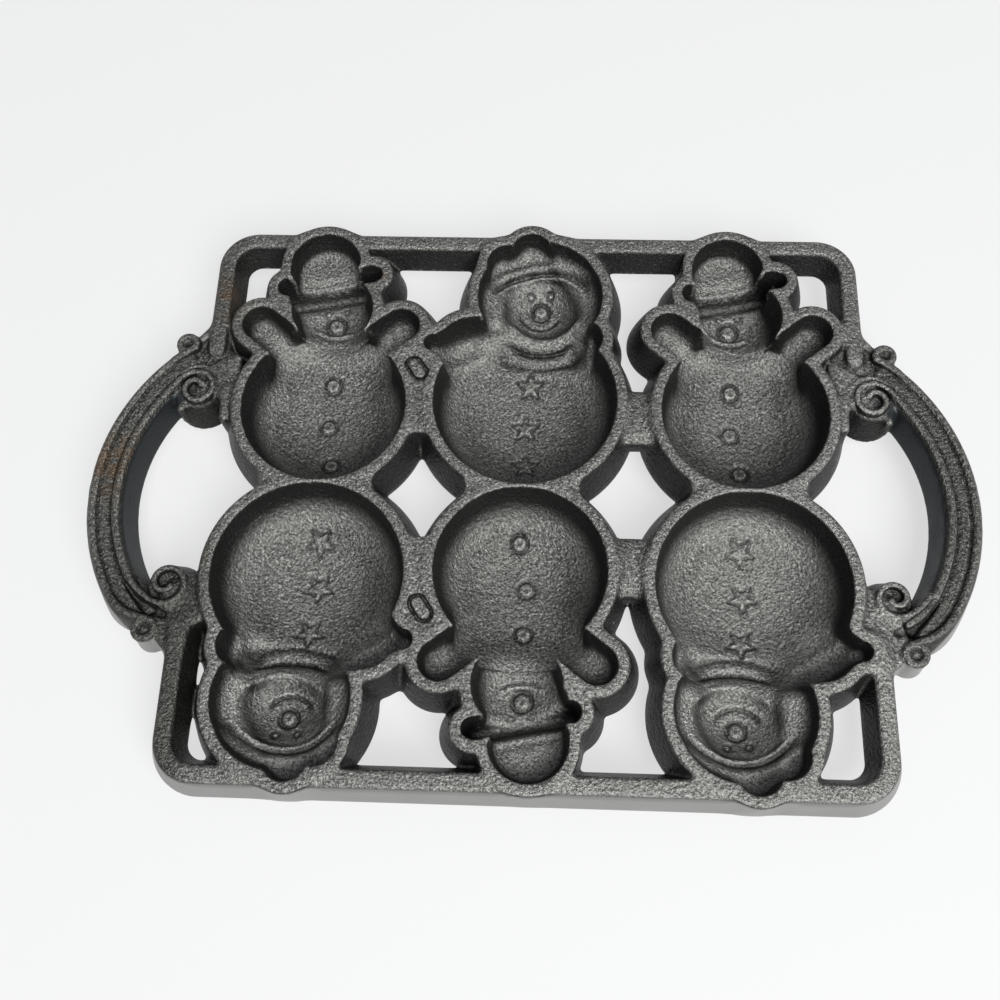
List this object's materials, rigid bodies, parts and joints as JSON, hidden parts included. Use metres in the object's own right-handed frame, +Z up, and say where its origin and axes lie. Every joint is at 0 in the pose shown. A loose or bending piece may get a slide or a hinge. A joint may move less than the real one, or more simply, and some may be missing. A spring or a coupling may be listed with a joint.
{
  "type": "cast iron snowman pan",
  "caption": "Cast iron baking pan with deep snowman-shaped cups in a railed frame, and a moulded, scroll-ended handle on each side.",
  "frame": {"origin": "centre of the plan, on the surface the cups stand on", "axes": "+X towards the right handle, +Y towards the heads of the upper row, +Z up out of the cups"},
  "size_m": [0.3388, 0.2318, 0.0285],
  "materials": {
    "cast_iron": "bare seasoned iron, dark grey, sandy cast grain"
  },
  "bodies": {
    "root": {"cup_cap_lower_left": "cast_iron", "cup_cap_lower_right": "cast_iron", "cup_cap_upper_middle": "cast_iron", "cup_hat_lower_middle": "cast_iron", "cup_hat_upper_left": "cast_iron", "cup_hat_upper_right": "cast_iron", "handle_left": "cast_iron", "handle_right": "cast_iron", "rail_corner_lower_left": "cast_iron", "rail_corner_lower_right": "cast_iron", "rail_corner_upper_left": "cast_iron", "rail_corner_upper_right": "cast_iron", "rail_lower_left": "cast_iron", "rail_lower_right": "cast_iron", "rail_upper_left": "cast_iron", "rail_upper_right": "cast_iron", "row_web_left_east": "cast_iron", "row_web_left_west": "cast_iron", "row_web_middle_east": "cast_iron", "row_web_middle_west": "cast_iron", "row_web_right_east": "cast_iron", "row_web_right_west": "cast_iron", "saddle_lower": "cast_iron", "saddle_upper": "cast_iron", "scroll_block_lower_left": "cast_iron", "scroll_block_lower_right": "cast_iron", "scroll_block_upper_left": "cast_iron", "scroll_block_upper_right": "cast_iron", "web_lower": "cast_iron", "web_upper": "cast_iron"}
  },
  "joints": []
}
